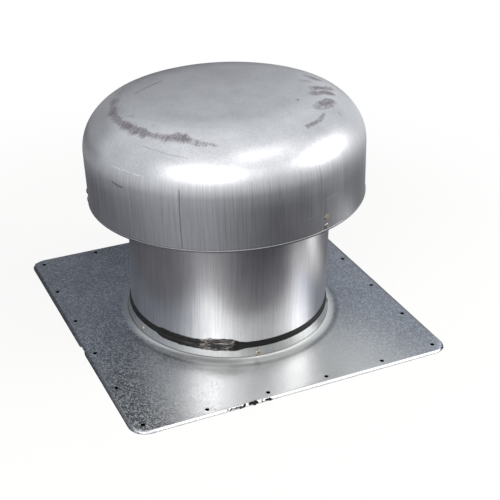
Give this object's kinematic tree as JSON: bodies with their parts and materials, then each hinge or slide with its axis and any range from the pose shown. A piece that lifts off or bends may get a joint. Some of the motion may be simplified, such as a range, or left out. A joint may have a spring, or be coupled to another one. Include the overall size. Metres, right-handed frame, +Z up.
{
  "type": "static roof vent",
  "caption": "Round galvanised roof vent: domed cap on riveted straps over a sealed pipe, standing on a square screwed flashing.",
  "frame": {"origin": "centre of the square flashing, level with the lowest edge of its bent margin", "axes": "+Z up along the pipe's axis, -Y to the front, +X to the right"},
  "size_m": [0.5036, 0.5036, 0.3647],
  "materials": {
    "spangled_steel": "hot-dip galvanised, fine spangle",
    "pipe_steel": "galvanised, rolled lines",
    "drawn_cap_steel": "galvanised, drawn and scuffed",
    "strap_steel": "galvanised",
    "screen_wire": "galvanised welded wire",
    "rivet_steel": "steel with rust stain",
    "black_sealant": "cured butyl sealant, smeared"
  },
  "bodies": {
    "root": {"base_flashing": "spangled_steel", "bird_screen": "screen_wire", "cap_bracket_1": "strap_steel", "cap_bracket_2": "strap_steel", "cap_bracket_3": "strap_steel", "cap_rivet_1_lower": "rivet_steel", "cap_rivet_1_upper": "rivet_steel", "cap_rivet_2_lower": "rivet_steel", "cap_rivet_2_upper": "rivet_steel", "cap_rivet_3_lower": "rivet_steel", "cap_rivet_3_upper": "rivet_steel", "collar_band": "spangled_steel", "collar_rivet_1": "rivet_steel", "collar_rivet_2": "rivet_steel", "collar_rivet_3": "rivet_steel", "collar_rivet_4": "rivet_steel", "collar_rivet_5": "rivet_steel", "pipe_rivet_1_lower": "rivet_steel", "pipe_rivet_1_upper": "rivet_steel", "pipe_rivet_2_lower": "rivet_steel", "pipe_rivet_2_upper": "rivet_steel", "pipe_rivet_3_lower": "rivet_steel", "pipe_rivet_3_upper": "rivet_steel", "screen_ring": "strap_steel", "screen_rivet_1": "rivet_steel", "screen_rivet_2": "rivet_steel", "screen_rivet_3": "rivet_steel", "sealant_bead": "black_sealant", "throat_pipe": "pipe_steel", "vent_cap": "drawn_cap_steel"}
  },
  "joints": []
}
